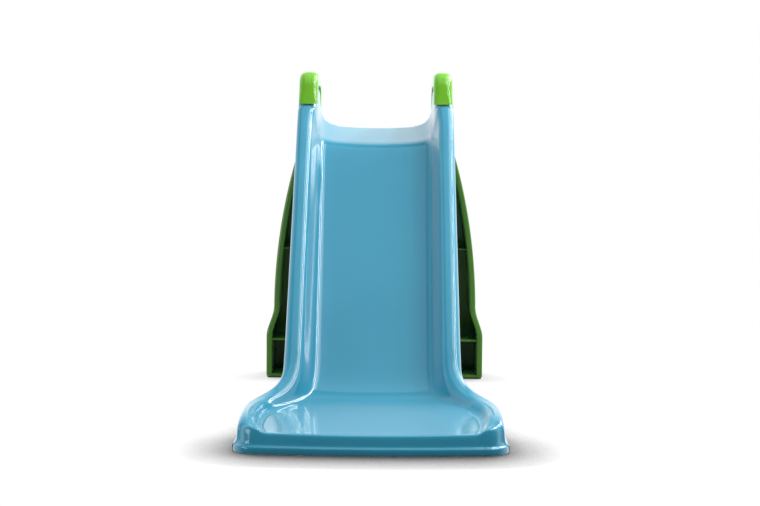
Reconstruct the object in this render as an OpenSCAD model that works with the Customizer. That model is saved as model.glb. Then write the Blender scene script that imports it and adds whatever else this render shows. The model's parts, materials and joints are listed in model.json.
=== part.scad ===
// Toddler slide: a moulded chute with a tray base, and a ladder with handrails that folds under it.
// Every shape is drawn with y as its distance behind the front lip, and each part is then moved to the middle.

/* [Overall] */
// Length from the front lip to the heel of the ladder
slide_length = 965; // [955:1:975]
// Width over the tray base
base_width = 457; // [448:1:466]
// Top of the handrails above the floor
overall_height = 641; // [636:1:646]

/* [Chute] */
// Slope of the sliding surface
chute_angle = 48; // [47:0.5:49]
// Slope of the seat at the top
seat_angle = 13; // [11:1:15]
// Height of the middle of the crest above the floor
crest_height = 491; // [487:1:495]
// Height of the front lip of the tray
lip_height = 33; // [30:1:36]
// Length of the tray floor, up to where it starts to curve upward
runout_length = 208; // [200:1:216]
// Slope of the tray floor
runout_angle = 3; // [2:0.5:4]
// Radius of the curve from the tray to the chute
runout_radius = 150; // [140:5:160]
// Radius of the curve over the crest
crest_radius = 75; // [70:1:80]
// Length of the straight part of the seat
seat_length = 131; // [127:1:134]
// Depth of the chute below its sliding surface
skirt_depth = 45; // [40:1:50]
// Dish of the sliding surface from its edges to its middle
bed_dish = 7; // [4:1:9]
// Wall thickness of the chute moulding
chute_wall = 4.5; // [4:0.25:5]

/* [Base rim] */
// Width of the foot flange around the base
flange_width = 6; // [5:0.5:7]
// Height of the foot flange
flange_height = 12; // [11:0.5:14]
// Bow of the front edge between its corners
front_bow = 12; // [8:1:14]
// Corner radius of the base
base_corner = 42; // [38:1:46]

/* [Ladder] */
// Width over the ladder feet
foot_width = 457; // [451:1:459]
// Width of each ladder side at its foot
side_width = 52; // [50:1:54]
// Depth of each ladder side at its foot
foot_depth = 110; // [106:1:112]
// Height of the widened boot of each ladder side
boot_height = 95; // [90:1:100]
// Radius of the outward sweep of the ladder sides
splay_radius = 1180; // [1160:5:1200]
// Wall thickness of the ladder mouldings
ladder_wall = 5; // [4:0.5:5.5]
// Width of the rolled outer edge of each ladder side
rolled_edge = 12; // [10:0.5:13]
// Height of the lower tread
lower_tread = 168; // [160:1:172]
// Height of the upper tread
upper_tread = 340; // [332:1:344]
// Thickness of each step
step_height = 42; // [38:1:46]

/* [Handrails] */
// Width of each handrail
rail_grip_width = 38; // [37:0.5:39]
// Thickness of each handrail over its post
rail_grip_depth = 27.5; // [26:0.5:29]
// Half of the width over the handrails
rail_half = 153.5; // [152.5:0.5:154]

/* [Pivot] */
// Diameter of the pivot rod
rod_d = 10; // [8:0.5:10]
// Radial play of the rod in its bushes
rod_play = 0.05; // [0.02:0.01:0.1]
// Outer diameter of the bushes
bush_d = 16; // [15:0.5:17]

/* [Hidden] */
$fn = 48;

blue = [0.36, 0.65, 0.77];
green = [0.40, 0.66, 0.19];
deep_green = [0.30, 0.48, 0.20];
half_base = base_width / 2;

// ---- Centre line of the sliding surface, by the length u along it ----
lip_inset = 22;
arc_run = runout_radius * (sin(chute_angle) - sin(runout_angle));
arc_rise = runout_radius * (cos(runout_angle) - cos(chute_angle));
crest_mid = (chute_angle + seat_angle) / 2;
crest_rise = crest_radius * (cos(crest_mid) - cos(chute_angle));
arc_start = [lip_inset, lip_height] + runout_length * [cos(runout_angle), sin(runout_angle)];
arc_end = arc_start + [arc_run, arc_rise];
straight_length = (crest_height - crest_rise - arc_end[1]) / sin(chute_angle);
straight_end = arc_end + straight_length * [cos(chute_angle), sin(chute_angle)];
crest_turn = [sin(chute_angle) - sin(seat_angle), cos(seat_angle) - cos(chute_angle)];
seat_start = straight_end + crest_radius * crest_turn;
u_arc = runout_length;
u_straight = u_arc + runout_radius * (chute_angle - runout_angle) * PI / 180;
u_crest = u_straight + straight_length;
u_seat = u_crest + crest_radius * (chute_angle - seat_angle) * PI / 180;
u_end = u_seat + seat_length;

function turned(u, u0, radius) = (u - u0) / radius * 180 / PI;
function on_run(start, angle, s) = start + s * [cos(angle), sin(angle)];
function bed(u) =
    u < u_arc ? on_run([lip_inset, lip_height], runout_angle, u)
    : u < u_straight ? let(a = runout_angle + turned(u, u_arc, runout_radius))
        arc_start + runout_radius * [sin(a) - sin(runout_angle), cos(runout_angle) - cos(a)]
    : u < u_crest ? on_run(arc_end, chute_angle, u - u_straight)
    : u < u_seat ? let(a = chute_angle - turned(u, u_crest, crest_radius))
        straight_end + crest_radius * [sin(chute_angle) - sin(a), cos(a) - cos(chute_angle)]
    : on_run(seat_start, seat_angle, u - u_seat);

// ---- How the cross-section changes along u: tray, lobes, chute, posts ----
u_ledge = u_crest + 17;
post_clear = 1.5;
post_top = overall_height - rail_grip_depth - post_clear;
tilt_by_u = [[150, 0], [330, 46], [640, 48], [u_ledge, 8], [u_end, 8]];
foot_half_by_u = [[125, half_base], [155, half_base - 2], [175, half_base - 8], [200, half_base - 24],
    [225, half_base - 44], [250, half_base - 60], [285, 161], [340, 160], [u_ledge, 158], [u_end, 158]];
bed_half_by_u = [[0, 176], [35, 186], [90, 186], [130, 180], [165, 166], [200, 141], [232, 121],
    [265, 111], [310, 107], [u_ledge, 109], [u_ledge + 50, 113], [u_end, 114]];
function post_rise(u) = (post_top - bed(u)[1]) / cos(lookup(u, tilt_by_u));
crest_by_u = [[0, 23], [120, 21], [165, 22], [200, 28], [232, 39], [265, 51], [310, 62], [360, 65], [640, 66],
    [760, 71], [u_crest, 82], [u_ledge, 87], [u_ledge + 13, 79], [u_ledge + 54, post_rise(u_ledge + 54) - 3],
    [u_ledge + 78, post_rise(u_ledge + 78)], [u_end, post_rise(u_end)]];
wall_run_by_u = [[120, 12], [200, 14], [320, 18], [u_crest, 18], [u_ledge + 15, 10], [u_ledge + 54, 6],
    [u_end, 3]];
fillet_by_u = [[0, 12], [200, 18], [320, 14], [u_crest, 14], [u_ledge + 50, 24], [u_end, 36]];
crown_by_u = [[0, 20], [200, 22], [320, 17], [u_end, 16]];
flange_by_u = [[200, flange_width], [300, 0]];

// Points of a corner rounded by a quadratic curve that starts and ends at reach from it
function toward(p, q, reach) = p + reach / norm(q - p) * (q - p);
function corner(before, at, after, reach, n) = let(p = toward(at, before, reach), q = toward(at, after, reach))
    [for (i = [0 : n - 1]) let(s = i / (n - 1)) (1 - s) * (1 - s) * p + 2 * s * (1 - s) * at + s * s * q];

// Half of a cross-section as [across, up] points, from the outer bottom edge to the centre line, drawn in by t
// for the inside of the wall. The flange has a sloping ledge on top, and a fillet where the wall rises from it.
ledge_rise = 2;
ledge_fillet = 7;
flange_draft = 0.8;
crown_share = [0.5, 0.48];
function floor_drop(u) = -min(bed(u)[1] / cos(lookup(u, tilt_by_u)), skirt_depth);
function half_section(u, t) = let(
    drop = floor_drop(u),
    out = lookup(u, foot_half_by_u) - t,
    lip = lookup(u, flange_by_u),
    edge = lookup(u, bed_half_by_u) + t * 0.5,
    crest = lookup(u, crest_by_u) - t,
    run = lookup(u, wall_run_by_u),
    crown = lookup(u, crown_by_u),
    bed_edge = [edge, bed_dish - t],
    inner_top = [edge + run + t * 0.7, crest],
    outer_top = [out - lip - 3, crest],
    outer_foot = [out - lip - 1, drop + flange_height + ledge_fillet],
    top_width = outer_top[0] - inner_top[0])
    concat(
        [[out, drop], [out, drop + flange_height - t * flange_draft],
            [out - lip, drop + flange_height + ledge_rise - t], outer_foot],
        corner(outer_foot, outer_top, inner_top, min(crown, top_width * crown_share[0]), 5),
        corner(outer_top, inner_top, bed_edge, min(crown * 0.8, top_width * crown_share[1]), 4),
        corner(inner_top, bed_edge, [0, 0], lookup(u, fillet_by_u), 4),
        [[edge * 0.55, bed_dish * 0.3 - t], [0, -t]]);
half_count = len(half_section(0, 0));
across = 2 * half_count - 1;

// The same section all the way across, left to right
function section(u, t) = let(h = half_section(u, t))
    concat([for (p = h) [-p[0], p[1]]], [for (i = [half_count - 2 : -1 : 0]) h[i]]);

// A section's point in space: x across, y behind the lip, z up
function placed(u, p) = let(a = lookup(u, tilt_by_u), b = bed(u))
    [p[0], b[0] - p[1] * sin(a), b[1] + p[1] * cos(a)];

// ---- Front wall: rings that follow the bowed outline of the base, from the floor up to the tray ----
front_corner = half_base - base_corner;
front_inset = [0, 0, flange_width, flange_width + 1, flange_width + 4, flange_width + 8];
front_level = [0, flange_height, flange_height + ledge_rise, flange_height + ledge_rise + 4];
front_rise = [0, 0, 0, 0, 0.55, 0.9];
front_spread = [0.93, 0.93, 0.935, 0.94, 0.955, 0.975];
rim_count = len(front_level);
corner_turn = 6;
function outline(x, inset) = let(r = base_corner - inset, over = max(abs(x) - front_corner, 0))
    inset + front_bow * pow(min(abs(x) / front_corner, 1), 2) + r - sqrt(max(r * r - over * over, 0));
function on_corner(x, inset, angle) = let(r = base_corner - inset)
    [sign(x) * (front_corner + r * cos(angle)), inset + front_bow + r * (1 - sin(angle))];
function front_point(k, j, p, t) = let(
    inset = front_inset[k] + t,
    level = min(k, j),
    x = p[0] * front_spread[k],
    base = front_level[min(k, rim_count - 1)] - (k > 0 ? t * flange_draft : 0),
    top = lip_height + p[1])
    j < rim_count ? let(
        rim = front_inset[min(level, rim_count - 1)] + t,
        c = on_corner(p[0], rim, 45 + (j - k) * corner_turn))
        [c[0], c[1], front_level[level] - (level > 0 ? t * flange_draft : 0)]
    : [x, outline(x, inset), base + front_rise[k] * (top - base)];

// ---- Both skins of the chute wall as rows of points ----
stations = [for (u = [6, 30, 62, 95, 128, 158, 184, 208, 232, 256, 282, 312, 350, 400]) u,
    for (u = [460 : 60 : 760]) u,
    for (u = [805, u_crest, u_ledge - 2]) u,
    for (s = [0, 13, 26, 54, 78, 105]) u_ledge + s,
    u_end - 26];
bow_reach = 120;
function bowed(u, p) = front_bow * max(1 - u / bow_reach, 0) * pow(min(abs(p[0]) / front_corner, 1), 2);
function skin(t) = let(last = u_end - t, back = section(last, t)) [
    for (k = [0 : len(front_inset) - 1]) let(s = section(0, t))
        [for (j = [0 : across - 1]) front_point(k, min(j, across - 1 - j), s[j], t)],
    for (u = stations) [for (p = section(u, t)) placed(u, p) + [0, bowed(u, p), 0]],
    [for (p = back) placed(last, p)],
    [for (p = back) placed(last, [p[0], floor_drop(last)])]];

// A strip of faces that joins two rows of point numbers
function strip(a, b) = [for (i = [0 : len(a) - 2]) each [[a[i], b[i + 1], a[i + 1]], [a[i], b[i], b[i + 1]]]];
function row_of(r, c0, c1, first) = [for (c = [c0 : c1]) first + r * across + c];
function column_of(c, r0, r1, first) = [for (r = [r0 : r1]) first + r * across + c];
function flipped(faces) = [for (f = faces) [f[2], f[1], f[0]]];

module chute_shell() {
    outside = skin(0);
    inside = skin(chute_wall);
    last = len(outside) - 1;
    first = len(outside) * across;
    faces = concat(
        [for (r = [0 : last - 1]) each strip(row_of(r, 0, across - 1, 0), row_of(r + 1, 0, across - 1, 0))],
        [for (r = [0 : last - 1])
            each flipped(strip(row_of(r, 0, across - 1, first), row_of(r + 1, 0, across - 1, first)))],
        strip(row_of(0, 0, across - 1, first), row_of(0, 0, across - 1, 0)),
        strip(row_of(last, 0, across - 1, 0), row_of(last, 0, across - 1, first)),
        strip(column_of(0, 0, last, 0), column_of(0, 0, last, first)),
        strip(column_of(across - 1, 0, last, first), column_of(across - 1, 0, last, 0)));
    polyhedron(points = [for (row = concat(outside, inside)) each row], faces = faces);
}

// ---- Pivot, behind and below the seat ----
pivot = [887, 480];
lug_in = 90;
lug_out = 110;
lug_r = 17;
lug_arm = [[-43.5, 45], [-35, 47], [8, 15], [-4, -16.5], [-38, 7]];
bush_flange = [22, 2];
boss_face = rail_half - rail_grip_width;
washer_gap = 0.2;
washer_d = 22;
pivot_boss = [30, 12];
cap_at = boss_face + 23;
cap_flange = [20, 3];
cap_dome = [15, 8];
cap_grip = 4;
bore_d = rod_d + 2 * rod_play;

// Anything drawn along +X at a place in the side view
module across_at(place, x0) {
    translate([x0, place[0], place[1]]) rotate([0, 90, 0]) children();
}
// A side-view outline, [behind the lip, up], given a width from x0 to x1
module side_extrude(x0, x1) {
    translate([x0, 0, 0]) rotate([90, 0, 90]) linear_extrude(x1 - x0) children();
}
// A front-view outline, [across, up], given a depth from y0 to y1
module front_extrude(y0, y1) {
    translate([0, y1, 0]) rotate([90, 0, 0]) linear_extrude(y1 - y0) children();
}
// A closed outline with each corner rounded: corners are [[point], reach]
function rounded(corners, n = 6) = [for (i = [0 : len(corners) - 1]) each let(
    count = len(corners),
    before = corners[(i + count - 1) % count][0],
    after = corners[(i + 1) % count][0])
    corners[i][1] > 0 ? corner(before, corners[i][0], after, corners[i][1], n) : [corners[i][0]]];
module placed_part(tint, side = 1) {
    color(tint) translate([0, -slide_length / 2, 0]) mirror([side < 0 ? 1 : 0, 0, 0]) children();
}

module lug() {
    difference() {
        union() {
            side_extrude(lug_in, lug_out) polygon([for (p = lug_arm) pivot + p]);
            across_at(pivot, lug_in) cylinder(r = lug_r, h = lug_out - lug_in);
        }
        across_at(pivot, lug_in - 1) cylinder(d = bush_d, h = lug_out - lug_in + 2);
    }
}
module slide_chute() {
    color(blue) translate([0, -slide_length / 2, 0]) {
        chute_shell();
        lug();
        mirror([1, 0, 0]) lug();
    }
}
module pivot_bush(side) {
    placed_part("ivory", side) difference() {
        union() {
            across_at(pivot, lug_in) cylinder(d = bush_d, h = lug_out - lug_in);
            across_at(pivot, lug_in - bush_flange[1]) cylinder(d = bush_flange[0], h = bush_flange[1]);
        }
        across_at(pivot, lug_in - bush_flange[1] - 1)
            cylinder(d = bore_d, h = lug_out - lug_in + bush_flange[1] + 2);
    }
}

// ---- Ladder side: a channel that is open towards the chute ----
boot_taper = 46;
foot_half = foot_width / 2;
boot_step = 15.5;
boot_draft = 3.5;
boot_lip = 12;
ladder_top = 506;
pad_height = 3;
heel = slide_length;
sweep_start = boot_height + boot_taper;
// Ribs across each channel, as [height, distance behind the front edge]
ladder_ribs = [[79, 7], [271, 20]];
rib_thickness = 3.5;

function sweep(z) = splay_radius - sqrt(pow(splay_radius, 2) - pow(max(z - sweep_start, 0), 2));
function outer_x(z) = max(foot_half - boot_step - sweep(z), rail_half);
function side_w(z) =
    side_width - (side_width - rail_grip_width) * max(z - sweep_start, 0) / (ladder_top - sweep_start);
function inner_x(z) = outer_x(z) - side_w(z);
function front_edge(z) = lookup(z, [[0, heel - foot_depth], [boot_height, heel - foot_depth],
    [sweep_start, heel - foot_depth + 7], [pivot[1], pivot[0] - 23], [ladder_top, pivot[0] - 23]]);
function rear_edge(z) = lookup(z, [[0, heel], [boot_height, heel], [sweep_start, heel - 8],
    [pivot[1] - 40, pivot[0] + 27], [ladder_top, pivot[0] + 25]]);
sweep_steps = 11;
sweep_levels = [for (i = [0 : sweep_steps]) sweep_start + i / sweep_steps * (ladder_top - sweep_start)];

// Seen from the front, drawn in by edge on the outside and by wall elsewhere
module ladder_front(edge, wall) {
    low = pad_height + wall;
    polygon(concat(
        [[inner_x(0) + wall, low], [foot_half - edge, low], [foot_half - edge, boot_height - wall * 0.5],
            [foot_half - boot_draft - edge, boot_height + boot_lip - wall * 0.5]],
        [for (z = sweep_levels) [outer_x(z) - edge, z - (z == ladder_top ? wall : 0)]],
        [for (i = [len(sweep_levels) - 1 : -1 : 0]) let(z = sweep_levels[i])
            [inner_x(z) + wall, z - (z == ladder_top ? wall : 0)]]));
}
// Seen from the side, with the back wall drawn in and the front left open when wall is above 0
module ladder_profile(wall) {
    levels = [pad_height, boot_height, sweep_start, pivot[1] - 40, ladder_top];
    polygon(concat([for (z = levels) [front_edge(z) - wall * 2, z]],
        [for (i = [len(levels) - 1 : -1 : 0]) [rear_edge(levels[i]) - wall, levels[i]]]));
}
step_screw_span = 34;
function tread_front(z) = front_edge(z) + 1;
function tread_rear(z) = rear_edge(z) - 3;
function step_mid(top) = [(tread_front(top) + tread_rear(top)) / 2, top - step_height / 2 - 2];
function screw_places(top) = [for (s = [-1, 1]) step_mid(top) + [s * step_screw_span / 2, 0]];
step_screw_d = 4.5;
screw_pad_d = 13;
screw_play = 0.4;
screw_pad_rise = 1.5;
function screw_seat(top) = inner_x(top - step_height) + ladder_wall + screw_pad_rise;

tenon_rise = 38;
tenon_root = 6;
tenon_gap = 0.2;
grip_wall = 4.5;
tenon_inset = grip_wall + tenon_gap;
leg_front = pivot[0] - 15;
leg_rear = pivot[0] + 25;
leg_mid = (leg_front + leg_rear) / 2;
handrail_screw_heights = [518, 534];
handrail_screw_d = 4;
handrail_screw_length = 20;

module ladder_side(side) {
    placed_part(deep_green, side) difference() {
        union() {
            intersection() {
                front_extrude(heel - foot_depth - 5, heel + 5) ladder_front(0, 0);
                side_extrude(0, foot_half + 5) ladder_profile(0);
            }
            translate([boss_face + tenon_inset, leg_front + tenon_inset, ladder_top - tenon_root])
                cube([rail_grip_width - 2 * tenon_inset, leg_rear - leg_front - 2 * tenon_inset,
                    tenon_rise + tenon_root]);
            across_at(pivot, boss_face) cylinder(d = pivot_boss[0], h = pivot_boss[1]);
        }
        difference() {
            intersection() {
                front_extrude(heel - foot_depth - 30, heel + 5) ladder_front(rolled_edge, ladder_wall);
                side_extrude(0, foot_half + 5) ladder_profile(ladder_wall);
            }
            for (rib = ladder_ribs)
                translate([0, heel - foot_depth + rib[1], rib[0]]) cube([foot_half, foot_depth, rib_thickness]);
            across_at(pivot, 0) cylinder(d = pivot_boss[0], h = cap_at);
            for (top = [lower_tread, upper_tread])
                for (p = screw_places(top))
                    across_at(p, 0) cylinder(d = screw_pad_d, h = screw_seat(top));
        }
        across_at(pivot, 0) cylinder(d = rod_d, h = cap_at + 1);
        for (top = [lower_tread, upper_tread])
            for (p = screw_places(top))
                across_at(p, 0) cylinder(d = step_screw_d + screw_play, h = screw_seat(top) + 1);
        for (z = handrail_screw_heights)
            across_at([leg_mid, z], boss_face) cylinder(d = handrail_screw_d, h = handrail_screw_length + 2);
    }
}

// ---- Handrail: an arch from the ladder over the post to its end at the front of the post ----
arch_low = post_top + post_clear;
leg_low = ladder_top + tenon_gap;
grip_corners = [
    [[677, 576], 3], [[699, overall_height], 30], [[leg_rear, overall_height], 62], [[leg_rear, leg_low], 0],
    [[leg_front, leg_low], 0], [[leg_front, arch_low], 26], [[726, arch_low], 8], [[691, 576], 2]];
cavity_top = overall_height - grip_wall;
cavity_front = leg_front + grip_wall;
cavity_rear = leg_rear - grip_wall;
cavity_corners = [
    [[689, 594], 3], [[704, cavity_top], 26], [[cavity_rear, cavity_top], 58],
    [[cavity_rear, ladder_top - 5], 0], [[cavity_front, ladder_top - 5], 0],
    [[cavity_front, arch_low + grip_wall], 28], [[724, arch_low + grip_wall], 8], [[700, 591], 2]];
grip_round = [12, 19];
module grip_front(inset) {
    low = pivot[1];
    top = overall_height - inset;
    translate([boss_face + inset, 0]) polygon(rounded([
        [[0, low], 0], [[rail_grip_width - 2 * inset, low], 0],
        [[rail_grip_width - 2 * inset, top], grip_round[1] - inset], [[0, top], grip_round[0] - inset]]));
}
module handrail(side) {
    placed_part(green, side) difference() {
        intersection() {
            side_extrude(boss_face, rail_half) polygon(rounded(grip_corners));
            front_extrude(grip_corners[0][0][0] - 5, leg_rear + 5) grip_front(0);
        }
        intersection() {
            side_extrude(boss_face + grip_wall, rail_half - grip_wall) polygon(rounded(cavity_corners));
            front_extrude(grip_corners[0][0][0] - 5, leg_rear + 5) grip_front(grip_wall);
        }
        for (z = handrail_screw_heights)
            across_at([leg_mid, z], boss_face - 1)
                cylinder(d = handrail_screw_d + screw_play, h = 2 * grip_wall);
    }
}

// ---- Steps: boxes open underneath, with grip ridges on the tread ----
end_gap = 0.35;
ridge_count = 5;
ridge_d = 5;
ridge_rise = 1.5;
ridge_inset = 18;
nosing = 10;
step_rib = 4;
boss_d = 12;
boss_length = 21;
boss_setback = 3;
screw_reach = 18;
module step_front(top, inset) {
    low = top - step_height;
    half_low = inner_x(low) - end_gap - inset;
    high = top + 2 * ridge_rise;
    half_high = inner_x(high) - end_gap - inset;
    polygon([[-half_low, low], [half_low, low], [half_high, high], [-half_high, high]]);
}
module step_profile(top, wall) {
    low = top - step_height - (wall > 0 ? 1 : 0);
    front = tread_front(top) + wall;
    rear = tread_rear(top) - wall;
    polygon(rounded([[[front, low], 0], [[front, top - wall], nosing - wall],
        [[rear, top - wall], nosing - wall], [[rear, low], 0]]));
}
module ladder_step(top) {
    front = tread_front(top);
    depth = tread_rear(top) - front;
    ridge_half = inner_x(top) - ridge_inset;
    placed_part(deep_green) difference() {
        union() {
            difference() {
                intersection() {
                    front_extrude(heel - foot_depth, heel) step_front(top, 0);
                    side_extrude(-foot_half, foot_half) step_profile(top, 0);
                }
                intersection() {
                    front_extrude(heel - foot_depth, heel) step_front(top, ladder_wall);
                    side_extrude(-foot_half, foot_half) step_profile(top, ladder_wall);
                }
            }
            for (i = [1 : ridge_count])
                across_at([front + depth * i / (ridge_count + 1), top + ridge_rise - ridge_d / 2], -ridge_half)
                    cylinder(d = ridge_d, h = 2 * ridge_half);
            for (x = [-1, 0, 1])
                translate([(x * inner_x(top) - step_rib) / 2, front + 2, top - step_height + 6])
                    cube([step_rib, depth - 4, step_height - 8]);
            for (side = [0, 1]) mirror([side, 0, 0])
                for (p = screw_places(top))
                    across_at(p, inner_x(p[1]) - boss_setback - boss_length)
                        cylinder(d = boss_d, h = boss_length);
        }
        for (side = [0, 1]) mirror([side, 0, 0])
            for (p = screw_places(top))
                across_at(p, inner_x(p[1]) - screw_reach - 2) cylinder(d = step_screw_d, h = 2 * screw_reach);
    }
}

// ---- Screws, rod, caps, washers and pads ----
// A screw along Z with its seat at 0: the head is a low dome with a cross recess
module pan_screw(d, length) {
    translate([0, 0, -length]) cylinder(d = d, h = length + 0.5);
    difference() {
        intersection() {
            cylinder(d = 2 * d, h = 0.7 * d);
            translate([0, 0, -1.2 * d]) sphere(r = 1.9 * d);
        }
        for (turn = [0, 90])
            rotate([0, 0, turn]) translate([-0.55 * d, -0.12 * d, 0.4 * d]) cube([1.1 * d, 0.24 * d, d]);
    }
}
module step_screws(top) {
    for (side = [1, -1])
        placed_part("silver", side)
            for (p = screw_places(top))
                across_at(p, screw_seat(top))
                    pan_screw(step_screw_d, screw_seat(top) - inner_x(p[1]) + screw_reach);
}
module handrail_screws() {
    for (side = [1, -1])
        placed_part("silver", side)
            for (z = handrail_screw_heights)
                translate([boss_face, leg_mid, z]) rotate([0, -90, 0])
                    pan_screw(handrail_screw_d, handrail_screw_length);
}
module pivot_rod() {
    placed_part("silver") across_at(pivot, -cap_at - cap_grip) cylinder(d = rod_d, h = 2 * (cap_at + cap_grip));
}
module rod_cap(side) {
    placed_part("dimgray", side) difference() {
        union() {
            across_at(pivot, cap_at) cylinder(d = cap_flange[0], h = cap_flange[1]);
            across_at(pivot, cap_at) cylinder(d = cap_dome[0], h = cap_dome[1]);
        }
        across_at(pivot, cap_at - 1) cylinder(d = rod_d, h = cap_grip + 1);
    }
}
module pivot_washer(side) {
    placed_part("ivory", side) difference() {
        across_at(pivot, lug_out + washer_gap) cylinder(d = washer_d, h = boss_face - lug_out - washer_gap);
        across_at(pivot, lug_out) cylinder(d = bore_d, h = boss_face - lug_out + 1);
    }
}
module foot_pad(side) {
    inset = 2;
    round = 6;
    x0 = inner_x(0) + inset;
    x1 = foot_half - inset;
    placed_part("darkslategray", side) linear_extrude(pad_height) polygon(rounded([
        [[x0, heel - foot_depth + inset], round], [[x1, heel - foot_depth + inset], round],
        [[x1, heel - inset], round], [[x0, heel - inset], round]]));
}

slide_chute();
pivot_bush(-1);  // pivot_bush_left
pivot_bush(1);  // pivot_bush_right
ladder_side(-1);  // ladder_side_left
ladder_side(1);  // ladder_side_right
handrail(-1);  // handrail_left
handrail(1);  // handrail_right
ladder_step(lower_tread);  // lower_step
ladder_step(upper_tread);  // upper_step
foot_pad(-1);  // foot_pad_left
foot_pad(1);  // foot_pad_right
pivot_rod();
rod_cap(-1);  // rod_cap_left
rod_cap(1);  // rod_cap_right
pivot_washer(-1);  // pivot_washer_left
pivot_washer(1);  // pivot_washer_right
step_screws(lower_tread);  // lower_step_screws
step_screws(upper_tread);  // upper_step_screws
handrail_screws();
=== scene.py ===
"""Toddler slide: a glossy blue chute with a flared tray, and a green ladder with arched handrails."""
import json
import math

import bpy
import bmesh
import numpy as np
from mathutils import Matrix, Vector


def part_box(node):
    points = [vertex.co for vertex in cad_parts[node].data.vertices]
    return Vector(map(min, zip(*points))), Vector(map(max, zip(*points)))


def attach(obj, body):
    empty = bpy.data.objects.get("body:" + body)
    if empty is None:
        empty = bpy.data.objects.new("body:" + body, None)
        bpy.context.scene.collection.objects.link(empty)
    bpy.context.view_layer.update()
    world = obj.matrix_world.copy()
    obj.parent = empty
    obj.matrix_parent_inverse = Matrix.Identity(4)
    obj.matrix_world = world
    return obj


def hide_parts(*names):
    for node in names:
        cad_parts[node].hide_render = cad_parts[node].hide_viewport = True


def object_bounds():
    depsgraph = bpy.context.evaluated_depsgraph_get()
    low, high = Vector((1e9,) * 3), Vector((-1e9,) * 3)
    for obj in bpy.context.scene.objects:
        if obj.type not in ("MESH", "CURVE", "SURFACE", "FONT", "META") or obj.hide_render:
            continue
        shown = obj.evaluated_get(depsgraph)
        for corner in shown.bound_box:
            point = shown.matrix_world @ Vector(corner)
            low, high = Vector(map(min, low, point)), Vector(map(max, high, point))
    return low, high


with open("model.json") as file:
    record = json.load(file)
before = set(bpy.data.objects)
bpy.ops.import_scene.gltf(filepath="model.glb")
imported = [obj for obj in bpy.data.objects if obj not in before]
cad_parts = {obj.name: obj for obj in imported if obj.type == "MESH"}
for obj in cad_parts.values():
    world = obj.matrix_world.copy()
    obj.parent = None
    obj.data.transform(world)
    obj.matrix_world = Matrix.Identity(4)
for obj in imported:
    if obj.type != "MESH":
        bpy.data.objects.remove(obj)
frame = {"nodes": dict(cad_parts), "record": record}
cad_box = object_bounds()
scene = bpy.context.scene
scene.view_settings.view_transform = "Standard"

# ---- Shared places, taken from the CAD frame ----
MM = 0.001
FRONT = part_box("slide_chute")[0].y          # the front lip; lengths below run back from it, in millimetres
PIVOT_Y = (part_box("pivot_rod")[0].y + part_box("pivot_rod")[1].y) / 2
PIVOT_Z = (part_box("pivot_rod")[0].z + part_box("pivot_rod")[1].z) / 2
PIVOT = (PIVOT_Y - FRONT) / MM, PIVOT_Z / MM
SIDES = (("left", -1), ("right", 1))        # each side's name and its sign across


def to_frame(points):
    """Points as [across, behind the lip, up] in millimetres, to the frame's metres."""
    p = np.asarray(points, float) * MM
    p[..., 1] += FRONT
    return p


# ---- Camera: a little above the seat and a few metres in front of the tray, in metres and degrees ----
CAMERA_AWAY = 2.766
CAMERA_SIDE = 0.021
CAMERA_HEIGHT = 0.544
CAMERA_PAN = 0.17
CAMERA_DIP = 4.39
CAMERA_ROLL = 0.45
CAMERA_LENS, CAMERA_SENSOR = 81.8, 36


def make_camera():
    data = bpy.data.cameras.new("photo_camera")
    data.lens = CAMERA_LENS
    data.sensor_width = CAMERA_SENSOR
    camera = bpy.data.objects.new("photo_camera", data)
    scene.collection.objects.link(camera)
    turn = (Matrix.Rotation(math.radians(CAMERA_PAN), 4, "Z")
            @ Matrix.Rotation(math.radians(90 - CAMERA_DIP), 4, "X")
            @ Matrix.Rotation(math.radians(CAMERA_ROLL), 4, "Z"))
    camera.matrix_world = Matrix.Translation((CAMERA_SIDE, FRONT - CAMERA_AWAY, CAMERA_HEIGHT)) @ turn
    scene.camera = camera


# ---- Node trees ----
class Tree:
    """A short way to build the node tree of a world or a material."""

    def __init__(self, owner):
        owner.use_nodes = True
        self.nodes = owner.node_tree.nodes
        self.links = owner.node_tree.links

    def feed(self, socket, value):
        """Give an input a value, or link another node's output to it."""
        if isinstance(value, bpy.types.NodeSocket):
            self.links.new(value, socket)
        else:
            socket.default_value = value

    def add(self, kind, inputs=None, **settings):
        """A new node with its settings and then its inputs, which go by name or by number."""
        node = self.nodes.new("ShaderNode" + kind)
        for key, value in settings.items():
            setattr(node, key, value)
        for key, value in (inputs or {}).items():
            self.feed(node.inputs[key], value)
        return node

    def ramp(self, value, low, high, out_low=0.0, out_high=1.0, shape="LINEAR"):
        ends = {"From Min": low, "From Max": high, "To Min": out_low, "To Max": out_high}
        return self.add("MapRange", {"Value": value, **ends}, interpolation_type=shape).outputs["Result"]

    def maths(self, operation, a, b):
        return self.add("Math", {0: a, 1: b}, operation=operation).outputs[0]

    def blend(self, share, first, second):
        """The first shader where share is 0, and the second where it is 1."""
        return self.add("MixShader", {0: share, 1: first.outputs[0], 2: second.outputs[0]}).outputs[0]


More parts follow.
